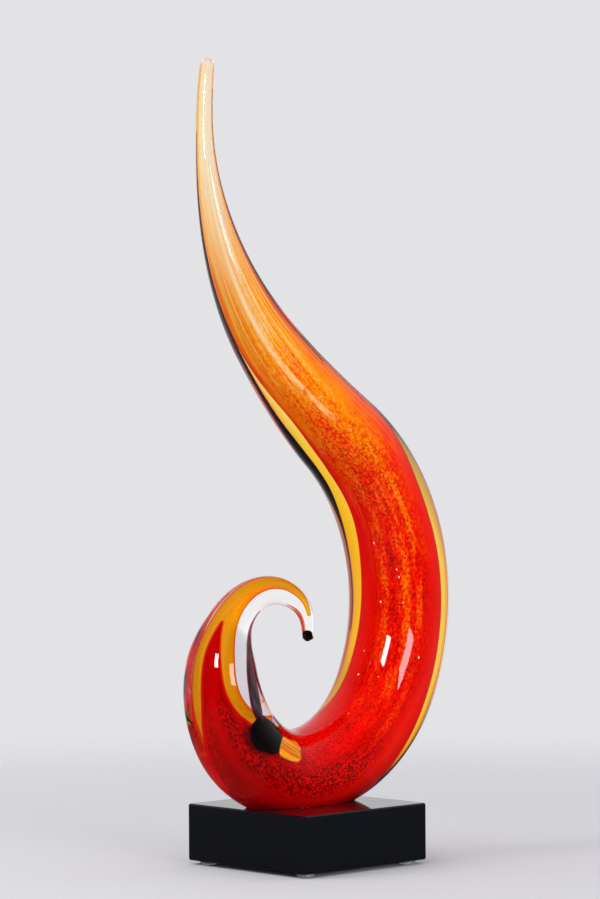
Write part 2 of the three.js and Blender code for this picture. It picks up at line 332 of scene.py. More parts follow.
def varying(rows):
    """One value that changes along the rod, from rows of (place in mm, value)."""
    table = smooth_table(rows)
    return lambda s: float(table(s)[0])


def rod_surface(
    rod, form, sides, step, start=1.0, end=1.0, wall=None, lean=None, wide=1.0, inward=False
):
    """Points, faces and drawn-out coordinates of a closed form along the rod, its two ends
    rounded as far as start and end say. A wall is taken off its radius, and it leans away
    from THICK_SIDE by a share of that wall, so that a film is thicker there. A wide form is
    bent round the rod. The inner face of a film points inward."""
    low, high = form["from"], form["to"]
    places = np.linspace(low, high, max(2, round((high - low) / step) + 1))
    a = np.linspace(0, 2 * math.pi, sides, endpoint=False)

    def ring(s, slide, squeeze):
        middle, direction, inside = rod.at(s)
        radius, reach, round_ = form["section"](s)
        taken = wall(s) if wall else 0
        radius = max(radius - taken, LEAST_RADIUS) * squeeze
        if wide > 1:
            out = reach + radius * np.cos(a)
            turned = round_ + wide * radius * np.sin(a) / reach
            across, front = out * np.cos(turned), out * np.sin(turned)
        else:
            off = taken * lean(s) if lean else 0
            across = reach * math.cos(round_) - off * math.cos(THICK_SIDE) + radius * np.cos(a)
            front = reach * math.sin(round_) - off * math.sin(THICK_SIDE) + radius * np.sin(a)
        points = middle + direction * slide + np.outer(across, inside) + np.outer(front, FRONT)
        drawn = np.stack([-across, front, np.full(sides, s + slide)], 1)
        drawn[:, :2] *= PATTERN_GIRTH / rod.girth(s)[0]
        return points, drawn

    def cap(s, sign, roundness):
        bulge = (form["section"](s)[0] - (wall(s) if wall else 0)) * roundness
        turns = [math.radians(t) for t in END_TURNS]
        return [ring(s, sign * bulge * math.sin(t), math.cos(t)) for t in turns]

    rings = cap(low, -1, start)[::-1] + [ring(s, 0, 1) for s in places] + cap(high, 1, end)
    last = (len(rings) - 1) * sides
    faces = []
    for k in range(0, last, sides):
        m = k + sides
        faces += [(k + i, k + (i + 1) % sides, m + (i + 1) % sides, m + i) for i in range(sides)]
    faces.append(tuple(range(sides))[::-1])
    faces.append(tuple(range(last, last + sides)))
    if inward:
        faces = [f[::-1] for f in faces]
    points = np.concatenate([r[0] for r in rings])
    drawn = np.concatenate([r[1] for r in rings])
    return points, faces, drawn, inward


def film(rod, form, sides, step, wall, lean=None, end=1.0):
    """The outer and the inner face of a film of glass, with a wall between them."""
    outer = rod_surface(rod, form, sides, step, end=end)
    inner = rod_surface(rod, form, sides, step, end=end, wall=wall, lean=lean, inward=True)
    return [outer, inner]


def make_piece(context, name, surfaces, place, materials, ground=False):
    """One mesh object from surfaces in millimetres, set at place in the row's frame. The
    ground face, where there is one, takes the last of its materials."""
    b = bmesh.new()
    drawn_out = b.verts.layers.float_vector.new("drawn")
    for points, faces, drawn, inward in surfaces:
        verts = [b.verts.new(p) for p in (points * MM + np.array(place)).tolist()]
        for vert, value in zip(verts, drawn.tolist()):
            vert[drawn_out] = value
        made = [b.faces.new([verts[i] for i in face]) for face in faces]
        for face in made:
            face.smooth = len(face.verts) == 4
        if ground:
            grind(b, verts, made, place[2], inward, len(materials) - 1)
    mesh = bpy.data.meshes.new(name)
    b.to_mesh(mesh)
    b.free()
    for material in materials:
        mesh.materials.append(material)
    piece = bpy.data.objects.new(name, mesh)
    context.scene.collection.objects.link(piece)
    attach(piece, BODY)
    return piece


def grind(b, verts, faces, height, inward, material):
    """Cuts one surface flat at a height and closes it there."""
    geometry = verts + list({e for f in faces for e in f.edges}) + faces
    cut = bmesh.ops.bisect_plane(
        b, geom=geometry, plane_co=(0, 0, height), plane_no=(0, 0, -1), clear_outer=True
    )
    rim = [e for e in cut["geom_cut"] if isinstance(e, bmesh.types.BMEdge)]
    for edge in rim:
        edge.smooth = False
    for face in bmesh.ops.contextual_create(b, geom=rim)["faces"]:
        face.material_index = material
        face.normal_update()
        if (face.normal.z > 0) != inward:
            face.normal_flip()


def new_material(name):
    """A material without any nodes, new or found by its name, and its node tree."""
    material = bpy.data.materials.get(name) or bpy.data.materials.new(name)
    material.use_nodes = True
    material.node_tree.nodes.clear()
    return material, material.node_tree


def add(tree, kind, *inputs, stops=None, named=None, **settings):
    """Adds a node with its settings, and gives its inputs values, or links from nodes or
    sockets, in order or by name. A Mix node's sockets share their names, so they go by
    number: 0 is its factor, 2 and 3 are its numbers, 6 and 7 its colours."""
    node = tree.nodes.new("ShaderNode" + kind)
    for key, value in settings.items():
        setattr(node, key, value)
    if stops:
        ramp = node.color_ramp.elements
        ramp[0].position, ramp[1].position = stops[0][0], stops[-1][0]
        for position, _ in stops[1:-1]:
            ramp.new(position)
        for element, (_, colour) in zip(ramp, stops):
            element.color = colour if isinstance(colour, tuple) else (colour, colour, colour, 1)
    given = [(i, v) for i, v in enumerate(inputs) if v is not None] + list((named or {}).items())
    for key, value in given:
        socket = node.inputs[key]
        if isinstance(value, bpy.types.Node):
            value = value.outputs[0]
        if isinstance(value, bpy.types.NodeSocket):
            tree.links.new(value, socket)
        else:
            socket.default_value = value
    return node


def absorption(through):
    """Colour and density of a volume that shows the colour `through` to light which
    crosses a millimetre of it."""
    taken = [-math.log(max(c, 1e-4)) / MM for c in through]
    density = max(taken)
    return (*(1 - t / density for t in taken), 1), density


def drawn_noise(tree, drawn, across, lengthwise, shift=0, detail=2.0, roughness=0.6):
    """Mottling drawn out with the rod, its grain so many mm across and along it."""
    scale = (1 / across, 1 / across, 1 / lengthwise)
    place = add(tree, "Mapping", drawn, (shift, shift, shift), None, scale)
    return add(
        tree, "TexNoise", place, named={"Scale": 1.0, "Detail": detail, "Roughness": roughness}
    )


def near_turns(tree, turn, *spots):
    """1 near an angle round the rod and 0 beyond a width from it, for spots of (angle,
    width) in degrees, and the highest where spots meet."""
    highest = None
    for at, width in spots:
        away = add(tree, "Math", turn, math.radians(at), operation="SUBTRACT")
        near = add(tree, "Math", away, operation="COSINE")
        edge, core = (math.cos(math.radians(w)) for w in (width, width * 0.25))
        spot = add(tree, "MapRange", near, edge, core, 0.0, 1.0, interpolation_type="SMOOTHSTEP")
        if highest is None:
            highest = spot
        else:
            highest = add(tree, "Math", highest, spot, operation="MAXIMUM")
    return highest


def clear_crystal():
    """Soda crystal, fire-polished: no grain, a mirror finish, and slow ripples from the
    heat that only bend a reflection a little. Lamps and soft light pass straight in, so
    the colours inside are lit as they are through real glass."""
    material, tree = new_material("clear_cased_crystal")
    drawn = add(tree, "Attribute", attribute_name="drawn").outputs["Vector"]
    ripple = drawn_noise(tree, drawn, 30, 90, detail=1.0, roughness=0.5)
    bump = add(tree, "Bump", named={"Strength": 0.05, "Distance": 0.0006, "Height": ripple})
    glass = add(
        tree, "BsdfPrincipled",
        named={"Base Color": (1, 1, 1, 1), "Roughness": 0.0, "IOR": 1.5,
               "Transmission Weight": 1.0, "Normal": bump},
    )
    clear = add(tree, "BsdfTransparent", (0.96, 0.965, 0.965, 1))
    rays = add(tree, "LightPath")
    soft = add(
        tree, "Math", rays.outputs["Is Shadow Ray"], rays.outputs["Is Diffuse Ray"],
        operation="MAXIMUM",
    )
    both = add(tree, "MixShader", soft, glass, clear)
    add(tree, "OutputMaterial", both)
    return material


def ground_glass():
    """The underside, ground flat and wetted by the glue, with the black block under it and
    small bubbles some 2 mm apart between them, their glints painted as pale dots."""
    material, tree = new_material("ground_glued_foot")
    where = add(tree, "NewGeometry").outputs["Position"]
    # Painted glints: the bubbles show as pale dots on the dark face.
    cells = add(tree, "TexVoronoi", where, named={"Scale": 420.0})
    bubbles = add(tree, "ValToRGB", cells.outputs["Distance"], stops=[(0.06, 1.0), (0.14, 0.0)])
    colour = add(
        tree, "Mix", data_type="RGBA",
        named={0: bubbles, 6: linear("#1A0A0A", 1), 7: linear("#E9D9D6", 1)},
    )
    face = add(
        tree, "BsdfPrincipled",
        named={"Base Color": colour.outputs[2], "Roughness": 0.35, "Specular IOR Level": 0.2},
    )
    add(tree, "OutputMaterial", face)
    return material


def powder():
    """Gold and red powder rolled into the hot gather and drawn out with it: mottled and
    grainy where the rod is thick, and pulled into threads towards the point, where it
    thins out. The red gather over it deepens it towards the sides. Its tone, from 0 for
    deep ruby to 1 for pale opal, is put together first and coloured after."""
    material, tree = new_material("gold_powder_glass")
    drawn = add(tree, "Attribute", attribute_name="drawn").outputs["Vector"]
    apart = add(tree, "SeparateXYZ", drawn).outputs
    turn = add(tree, "Math", apart["Y"], apart["X"], operation="ARCTAN2")

    def along(*rows):
        """A value that changes along the rod, from rows of (place in mm, value)."""
        low, high = rows[0][0], rows[-1][0]
        place = add(tree, "MapRange", apart["Z"], float(low), float(high), 0.0, 1.0)
        stops = [((at - low) / (high - low), value) for at, value in rows]
        return add(tree, "ValToRGB", place, stops=stops)

    facing = near_turns(tree, turn, (128, 82), (308, 82))
    right = near_turns(tree, turn, (24, 42))
    left = near_turns(tree, turn, (232, 42))
    sides = add(tree, "Math", right, left, operation="MAXIMUM")

    # The tone rises from red to amber to opal along the rod, and is mottled.
    base = along(
        (-150, 0.04), (-90, 0.06), (-50, 0.02), (0, 0.12), (80, 0.18), (200, 0.22), (236, 0.32),
        (281, 0.48), (337, 0.62), (390, 0.71), (441, 0.78), (492, 0.88), (560, 1.0), (618, 1.0),
    )
    spread = along(
        (-150, 0.0), (-60, 0.15), (60, 0.4), (200, 0.6), (300, 0.7), (400, 0.4), (500, 0.1)
    )
    mottle = drawn_noise(tree, drawn, 15, 46, detail=3.0)
    mottle = add(tree, "Math", mottle, 0.5, operation="SUBTRACT")
    tone = add(tree, "Math", mottle, spread, base, operation="MULTIPLY_ADD")

    # Painted light: low on the right, near the foot, where the rod faces down, the tone is raised
    # to stand in for light coming through the glass. The red over it is thicker at both sides
    # higher up and in a band that slants across the waist.
    slanting = add(tree, "Math", turn, along((240, 0.65), (360, 0.0)), operation="ADD")
    slant = near_turns(tree, slanting, (148, 26))
    for where, change, rows in (
        (near_turns(tree, turn, (80, 50)), "ADD", ((200, 0.0), (290, 0.06), (380, 0.0))),
        # Painted light: the lower side near the foot is made brighter, for light through the glass.
        (
            near_turns(tree, turn, (40, 48)), "ADD",
            ((-40, 0.0), (0, 0.2), (90, 0.16), (150, 0.0)),
        ),
        (right, "SUBTRACT", ((310, 0.0), (370, 0.06), (430, 0.2), (600, 0.4))),
        (left, "SUBTRACT", ((200, 0.0), (250, 0.14), (330, 0.16), (430, 0.22), (600, 0.4))),
        (slant, "SUBTRACT", ((215, 0.0), (250, 0.05), (340, 0.08), (362, 0.0))),
    ):
        amount = add(tree, "Math", where, along(*rows), operation="MULTIPLY")
        tone = add(tree, "Math", tone, amount, operation=change)

    # Lengthwise veins of gold on the belly.
    veins = near_turns(tree, turn, (163, 13), (125, 17), (96, 9))
    patchy = add(tree, "MapRange", drawn_noise(tree, drawn, 5, 34, shift=9), 0.38, 0.56, 0.0, 1.0)
    veins = add(tree, "Math", veins, patchy, operation="MULTIPLY")
    strength = along((20, 0.0), (90, 0.26), (250, 0.32), (330, 0.0))
    tone = add(tree, "Math", veins, strength, tone, operation="MULTIPLY_ADD")

    # The grains of the powder, and the fine lines that they are drawn out to.
    grain = drawn_noise(tree, drawn, 1.6, 2.6, shift=4, roughness=0.7)
    grain = add(tree, "MapRange", grain, 0.42, 0.58, -0.5, 0.5)
    grain = add(tree, "Math", grain, facing, operation="MULTIPLY")
    grit = along(
        (-110, 0.0), (-80, 0.16), (20, 0.16), (60, 0.22), (150, 0.3), (300, 0.3), (400, 0.22),
        (470, 0.06), (560, 0.0),
    )
    tone = add(tree, "Math", grain, grit, tone, operation="MULTIPLY_ADD")
    fine = drawn_noise(tree, drawn, 1.9, 420, shift=5, detail=3.0)
    fine = add(tree, "MapRange", fine, 0.4, 0.6, -0.1, 0.1)
    lined = along((260, 0.0), (380, 0.9), (450, 1.3), (600, 1.0))
    tone = add(tree, "Math", fine, lined, tone, operation="MULTIPLY_ADD")
    colour = add(tree, "ValToRGB", tone, stops=[
        (0.0, linear("#A00206", 1)),
        (0.14, linear("#E20200", 1)),
        (0.34, linear("#F42000", 1)),
        (0.5, linear("#F65400", 1)),
        (0.62, linear("#FC9000", 1)),
        (0.8, linear("#FFB208", 1)),
        (0.92, linear("#F4D4A0", 1)),
        (1.0, linear("#E8DED2", 1)),
    ])

    # Cream threads towards the point, and one ragged cream band down the front.
    threads = drawn_noise(tree, drawn, 3.0, 420, shift=2, roughness=0.5)
    threads = add(tree, "MapRange", threads, 0.55, 0.63, 0.0, 1.0)
    thinning = along((370, 0.0), (420, 0.4), (470, 0.7), (600, 0.9))
    threads = add(tree, "Math", threads, thinning, operation="MULTIPLY")
    ragged = add(tree, "MapRange", drawn_noise(tree, drawn, 2.4, 9, shift=6), 0.34, 0.52, 0.0, 1.0)
    whole = along((370, 0.0), (440, 1.0))
    whole = add(tree, "Math", ragged, whole, operation="MAXIMUM")
    drift = along((330, 0.45), (400, 0.05), (420, 0.0))
    drift = add(tree, "Math", turn, drift, operation="ADD")
    cream = along((335, 0.0), (352, 0.95), (520, 1.0))
    cream = add(tree, "Math", near_turns(tree, drift, (128, 8)), cream, operation="MULTIPLY")
    cream = add(tree, "Math", cream, whole, operation="MULTIPLY")
    cream = add(tree, "Math", threads, cream, operation="MAXIMUM")
    streaked = add(
        tree, "Mix", data_type="RGBA", named={0: cream, 6: colour, 7: linear("#FFEBC8", 1)}
    )

    # Dark burnt grains: scattered on the front and the back, and crowded round the curl.
    dots = drawn_noise(tree, drawn, 1.0, 1.6, shift=8, roughness=0.7)
    dots = add(tree, "MapRange", dots, 0.5, 0.6, 0.0, 1.0)
    clots = add(tree, "MapRange", drawn_noise(tree, drawn, 4, 8, shift=11), 0.4, 0.6, 0.3, 1.0)
    crowd = along((60, 0.35), (140, 0.65), (310, 0.85), (345, 0.5), (400, 0.0))
    for part in (clots, crowd, facing):
        dots = add(tree, "Math", dots, part, operation="MULTIPLY")
    crackle = drawn_noise(tree, drawn, 1.5, 2.0, shift=7, roughness=0.7)
    crackle = add(tree, "MapRange", crackle, 0.47, 0.54, 0.0, 0.9)
    curved = add(tree, "Math", turn, along((-100, 0.7), (60, 0.0)), operation="ADD")
    curl = along((-120, 0.0), (-90, 1.0), (35, 1.0), (85, 0.0))
    for part in (near_turns(tree, curved, (92, 36)), curl):
        crackle = add(tree, "Math", crackle, part, operation="MULTIPLY")
    dark = add(tree, "Math", dots, crackle, operation="MAXIMUM")
    burnt = add(tree, "ValToRGB", tone, stops=[
        (0.35, linear("#520402", 1)), (0.75, linear("#A04400", 1))])
    dotted = add(
        tree, "Mix", data_type="RGBA", named={0: dark, 6: streaked.outputs[2], 7: burnt}
    )
    face = add(
        tree, "BsdfPrincipled",
        named={"Base Color": dotted.outputs[2], "Roughness": 0.6, "Specular IOR Level": 0.0},
    )

    # The powder thins out towards the point, last in its threads and at the sides.
    clear = add(tree, "BsdfTransparent", (1, 1, 1, 1))
    solid = along((400, 1.0), (450, 0.85), (500, 0.5), (550, 0.2), (600, 0.14), (618, 0.3))
    for part, share in ((cream, 0.5), (sides, 0.7)):
        kept = add(tree, "Math", part, share, operation="MULTIPLY")
        solid = add(tree, "Math", solid, kept, operation="MAXIMUM")
    add(tree, "OutputMaterial", add(tree, "MixShader", solid, clear, face))
    return material


def black_crystal(colour):
    """Black crystal, sawn, ground and polished to a mirror: it shows hardly any colour of
    its own, clear reflections, polishing swirls about 17 mm across, and a faint cloudiness
    of some 70 mm."""
    material, tree = new_material("polished_black_crystal")
    where = add(tree, "NewGeometry").outputs["Position"]
    swirl = add(tree, "TexNoise", where, named={"Scale": 60.0, "Detail": 4.0})
    rough = add(tree, "MapRange", swirl, 0.3, 0.75, 0.0, 0.035)
    cloud = add(tree, "TexNoise", where, named={"Scale": 14.0, "Detail": 2.0})
    shade = add(tree, "Mix", data_type="RGBA",
                named={0: cloud, 6: (*colour, 1), 7: linear("#0C0D10", 1)})
    body = add(
        tree, "BsdfPrincipled",
        named={"Base Color": shade.outputs[2], "Roughness": rough, "IOR": 1.52},
    )
    add(tree, "OutputMaterial", body)
    return material


def clear_bumper():
    """Soft clear polyurethane, cast: slightly hazy, with dust on it in grains of a
    millimetre, as coarse as they need to be to show."""
    material, tree = new_material("cast_clear_polyurethane")
    where = add(tree, "NewGeometry").outputs["Position"]
    dust = add(tree, "TexNoise", where, named={"Scale": 900.0, "Detail": 2.0})
    rough = add(tree, "MapRange", dust, 0.3, 0.7, 0.18, 0.4)
    shade = add(tree, "Mix", data_type="RGBA",
                named={0: dust, 6: linear("#B9BEC2", 1), 7: linear("#E3E6E8", 1)})
    body = add(
        tree, "BsdfPrincipled",
        named={"Base Color": shade.outputs[2], "Roughness": rough, "IOR": 1.5,
               "Transmission Weight": 0.6},
    )
    add(tree, "OutputMaterial", body)
    return material


def cured_glue():
    """Clear light-cured glue: glossy, with a few small bubbles about 2 mm apart, their glints
    painted as pale dots.
    """
    material, tree = new_material("clear_cured_adhesive")
    where = add(tree, "NewGeometry").outputs["Position"]
    cells = add(tree, "TexVoronoi", where, named={"Scale": 500.0})
    # Painted glints: the bubbles show as pale dots on the glue's colour.
    bubbles = add(tree, "ValToRGB", cells.outputs["Distance"], stops=[(0.1, 1.0), (0.22, 0.0)])
    shade = add(tree, "Mix", data_type="RGBA",
                named={0: bubbles, 6: linear("#2A1214", 1), 7: linear("#F4ECEA", 1)})
    body = add(
        tree, "BsdfPrincipled",
        named={"Base Color": shade.outputs[2], "Roughness": 0.12, "IOR": 1.48},
    )
    add(tree, "OutputMaterial", body)
    return material


def matt_floor(colour):
    """Matt painted board, with the faint roller stipple of a painted surface, 5 to 6 mm
    across. Mirrored in the glass it is dim, as with black cloth laid out of the picture,
    and it fades out into the room behind."""
    material, tree = new_material("matt_painted_board")
    where = add(tree, "NewGeometry").outputs["Position"]
    stipple = add(tree, "TexNoise", where, named={"Scale": 180.0, "Detail": 3.0})
    shade = add(tree, "Mix", data_type="RGBA",
                named={0: stipple, 6: (*(c * 0.97 for c in colour), 1), 7: (*colour, 1)})
    board = add(
        tree, "BsdfPrincipled",
        named={"Base Color": shade.outputs[2], "Roughness": 0.9, "Specular IOR Level": 0.02},
    )
    rays = add(tree, "LightPath").outputs
    direct = add(tree, "Math", 1.0, rays["Is Transmission Ray"], operation="SUBTRACT")
    mirrored = add(tree, "Math", rays["Is Glossy Ray"], direct, operation="MULTIPLY")
    flagged = add(tree, "Math", mirrored, 0.9, operation="MULTIPLY")
    dim = add(tree, "BsdfDiffuse", (0.01, 0.01, 0.01, 1))
    board = add(tree, "MixShader", flagged, board, dim)
    out = add(tree, "VectorMath", where, (1, 1, 0), operation="MULTIPLY")
    far = add(tree, "VectorMath", out, operation="LENGTH")
    fade = add(
        tree, "MapRange", far.outputs["Value"], *FLOOR_FADE, 0.0, 1.0,
        interpolation_type="SMOOTHSTEP",
    )
    gone = add(tree, "BsdfTransparent", (1, 1, 1, 1))
    add(tree, "OutputMaterial", add(tree, "MixShader", fade, board, gone))
    return material


def trapped_air():
    """Seeds: tiny bubbles caught between the gathers and drawn out with the rod. Their glint is
    painted: a white base colour, lit by the lamps, makes each show as a pale point."""
    material, tree = new_material("trapped_air_seeds")
    where = add(tree, "NewGeometry").outputs["Position"]
    grain = add(tree, "TexNoise", where, named={"Scale": 2000.0})
    rough = add(tree, "MapRange", grain, 0.3, 0.7, 0.0, 0.06)
    # Painted glint: the white base colour stands in for lamps mirrored in each bubble.
    air = add(tree, "BsdfPrincipled", named={
        "Base Color": (1, 1, 1, 1), "Roughness": rough, "IOR": 1 / 1.5, "Transmission Weight": 0.3})
    add(tree, "OutputMaterial", air)
    return material


def coloured_glass(name, through, haze, share, side=None):
    """A gather of transparent coloured glass, fused to its neighbours, so that it has no
    surface of its own to mirror anything: light is coloured by the depth it crosses. The
    drawing-out leaves faint lengthwise reams in it, 3.5 mm wide, which catch a share of
    the light in two colours of haze, all round or only on the side (in degrees round the
    rod) that lay on the steel table."""
    material, tree = new_material(name)
    drawn = add(tree, "Attribute", attribute_name="drawn").outputs["Vector"]
    reams = drawn_noise(tree, drawn, 3.5, 130, detail=3.0)
    milky = add(tree, "MapRange", reams, 0.35, 0.65, share * 0.4, share * 1.6)
    if side is not None:
        apart = add(tree, "SeparateXYZ", drawn).outputs
        turn = add(tree, "Math", apart["Y"], apart["X"], operation="ARCTAN2")
        milky = add(tree, "Math", milky, near_turns(tree, turn, (side, 85)), operation="MULTIPLY")
    dull, bright = haze
    shade = add(tree, "ValToRGB", reams, stops=[(0.35, linear(dull, 1)), (0.62, linear(bright, 1))])
    face = add(
        tree, "BsdfPrincipled",
        named={"Base Color": shade, "Roughness": 0.7, "Specular IOR Level": 0.0},
    )
    clear = add(tree, "BsdfTransparent", (1, 1, 1, 1))
    both = add(tree, "MixShader", milky, clear, face)
    inside = add(tree, "VolumeAbsorption", *absorption(through))
    add(tree, "OutputMaterial", both, inside)
    return material


def underside(node):
    """The middle of a node's box at its lowest height, in metres."""
    low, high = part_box(node)
    return (low.x + high.x) / 2, (low.y + high.y) / 2, low.z


def flame_start(context):
    """What each part of the flame is made from: the sizes, the colours, the rod, where the
    rod's own frame stands in the row's frame in metres, and the step of its rings in mm."""
    sizes = context.scene.flame_sizes
    rod = Rod(sizes.foot_girth / MM, sizes.ground_off / MM)
    x, y, _ = underside("base_block")
    place = (x + sizes.foot_shift, y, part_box("clear_casing")[0].z)
    return sizes, context.scene.glass_colours, rod, place, sizes.ring_step / MM


class FLAME_OT_casing(bpy.types.Operator):
    """Draws the clear outer glass along the rod and grinds its foot flat"""

    bl_idname = "flame.casing"
    bl_label = "Clear casing"

    def execute(self, context):
        sizes, _, rod, place, step = flame_start(context)
        form = {
            "from": -rod.hook_length,
            "to": rod.body_length,
            "section": lambda s: (rod.girth(s)[0] * sizes.fit, 0, 0),
        }
        surface = rod_surface(rod, form, sizes.sides, step, start=0.45, end=0.58)
        glass = [clear_crystal(), ground_glass()]
        piece = make_piece(context, "flame_casing", [surface], place, glass, ground=True)
        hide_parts("clear_casing")
        chance = np.random.default_rng(sizes.seed_pattern)
        seeds = []
        for _ in range(sizes.seeds):
            ranges = (SEED_PLACES, SEED_SHARES, SEED_TURNS)
            s, share, round_ = (chance.uniform(*span) for span in ranges)
            ends = (s - SEED_HALF_LENGTH, s + SEED_HALF_LENGTH)
            seed = layer(rod, [(end, share, SEED_REACH, round_) for end in ends])
            seeds.append(rod_surface(rod, seed, SEED_SIDES, 1.0, start=1.6, end=1.6))
        piece = make_piece(context, "air_seeds", seeds, place, [trapped_air()])
        return {"FINISHED"}


class FLAME_OT_amber(bpy.types.Operator):
    """Lays the thin amber gather under the casing, up the body and round the hook"""

    bl_idname = "flame.amber"
    bl_label = "Amber glass"

    def execute(self, context):
        sizes, colours, rod, place, step = flame_start(context)
        wall = varying([
            (57, 0.22), (84, 0.42), (124, 0.5), (216, 0.6), (309, 0.5), (380, 0.24), (420, 0.16),
            (507, 0.12), (615, 0.09),
        ])
        lean = varying([(57, 0), (120, 0.5), (280, 0.6), (420, 0.85), (615, 0.85)])
        glass = coloured_glass("drawn_amber_glass", colours.straw, ("#FFC83C", "#FFE090"), 0.002)
        skins = film(rod, layer(rod, AMBER_BODY), sizes.sides, step, wall, lean, end=0.4)
        skin = make_piece(context, "amber_body_film", skins, place, [glass])
        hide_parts("amber_body_skin")
        wall = varying([(-236, 0.3), (-195, 0.32), (-150, 0.22), (-63, 0.2)])
        glass = coloured_glass(
            "rich_amber_glass", colours.amber, ("#FF8400", "#FF9C04"), 0.2, side=235
        )
        skins = film(rod, layer(rod, AMBER_HOOK), sizes.sides, step, wall, end=0.1)
        skin = make_piece(context, "amber_hook_film", skins, place, [glass])
        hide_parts("amber_hook_skin")
        glass = coloured_glass("opal_amber_glass", colours.amber, ("#F08A00", "#FFA20C"), 0.7)
        surface = rod_surface(
            rod, layer(rod, AMBER_INLAY), THREAD_SIDES, step, start=2.6, end=3.0, wide=4.5
        )
        patch = make_piece(context, "amber_patch", [surface], place, [glass])
        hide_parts("amber_inlay")
        return {"FINISHED"}


class FLAME_OT_ruby(bpy.types.Operator):
    """Lays the ruby gather over its core of gold powder"""

    bl_idname = "flame.ruby"
    bl_label = "Ruby glass and powder core"

    def execute(self, context):
        sizes, colours, rod, place, step = flame_start(context)
        form = layer(rod, RUBY)
        wall = varying([
            (-145, 0.8), (-95, 1.5), (0, 1.2), (100, 0.5), (250, 0.4), (330, 0.2), (420, 0.08),
            (500, 0.04), (616, 0.035),
        ])
        glass = coloured_glass("selenium_ruby_glass", colours.ruby, ("#D80A04", "#FF3A10"), 0.004)
        skins = film(rod, form, sizes.sides, step, wall)
        skin = make_piece(context, "ruby_film", skins, place, [glass], ground=True)
        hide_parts("red_core")
        core = rod_surface(rod, form, sizes.sides, step, wall=lambda s: wall(s) + CORE_GAP)
        core = make_piece(context, "powder_core", [core], place, [powder()], ground=True)
        return {"FINISHED"}


class FLAME_OT_streaks(bpy.types.Operator):
    """Draws the dark threads and patches of aubergine glass"""

    bl_idname = "flame.streaks"
    bl_label = "Dark streaks"

    def execute(self, context):
        _, colours, rod, place, step = flame_start(context)
        dark = coloured_glass("aubergine_glass", colours.aubergine, ("#1A0508", "#3A1020"), 0.05)
        violet = coloured_glass("violet_glass", colours.violet, ("#6A4058", "#A08898"), 0.1)
        red = coloured_glass("ruby_thread_glass", colours.ruby, ("#B80A04", "#D82A10"), 0.3)
        # The last two columns say how wide a form is and how far its ends are drawn out.
        for name, rows, glass, node, wide, end in (
            ("dark_body_thread", DARK_BODY, dark, "dark_body_streak", 1, 1),
            ("brown_edge_thread", BROWN_EDGE, dark, "dark_body_streak", 1, 1),
            ("dark_curl_patch", DARK_PATCH, dark, "dark_hook_streak", 7, 3.5),
            ("violet_curl_thread", VIOLET_THREAD, violet, "dark_hook_streak", 1, 1),
            ("red_hook_thread", RED_THREAD, red, "dark_hook_streak", 1, 1),
            ("dark_hook_end", DARK_END, dark, "dark_hook_streak", 1, 1),
        ):
            form = layer(rod, rows)
            surface = rod_surface(rod, form, THREAD_SIDES, step, start=end, end=end, wide=wide)
            piece = make_piece(context, name, [surface], place, [glass])
            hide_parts(node)
        return {"FINISHED"}


class FLAME_OT_block(bpy.types.Operator):
    """Finishes the block, the glue and the bumpers"""

    bl_idname = "flame.block"
    bl_label = "Block, glue and bumpers"

    def execute(self, context):
        colours, sizes = context.scene.glass_colours, context.scene.block_sizes
        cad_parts["base_block"].material_slots[0].material = black_crystal(colours.black)
        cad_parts["adhesive_film"].material_slots[0].material = cured_glue()
        for node in [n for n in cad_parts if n.startswith("bumper_")]:
            self.bumper(context, node, sizes.bumper_rounding)
        return {"FINISHED"}

    def bumper(self, context, node, rounding):
        """A low disc with a rounded lower rim, as large as the node's box."""
        low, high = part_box(node)
        radius, height = (high.x - low.x) / 2, high.z - low.z
        profile = []
        for i in range(RIM_STEPS + 1):
            a = math.pi / 2 * i / RIM_STEPS
            profile.append((radius - rounding * (1 - math.sin(a)), rounding * (1 - math.cos(a))))
        profile.append((radius, height))
        turns = [2 * math.pi * k / BUMPER_SIDES for k in range(BUMPER_SIDES)]
        b = bmesh.new()
        rings = []
        for r, z in profile:
            rings.append([b.verts.new((r * math.cos(t), r * math.sin(t), z)) for t in turns])
        for lower, upper in zip(rings, rings[1:]):
            for k in range(BUMPER_SIDES):
                m = (k + 1) % BUMPER_SIDES
                b.faces.new((lower[k], lower[m], upper[m], upper[k])).smooth = True
        b.faces.new(rings[0][::-1])
        b.faces.new(rings[-1])
        mesh = bpy.data.meshes.new(node + "_disc")
        b.to_mesh(mesh)
        b.free()
        mesh.transform(Matrix.Translation(underside(node)))
        mesh.materials.append(clear_bumper())
        piece = bpy.data.objects.new(node + "_disc", mesh)
        context.scene.collection.objects.link(piece)
        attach(piece, BODY)
        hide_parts(node)


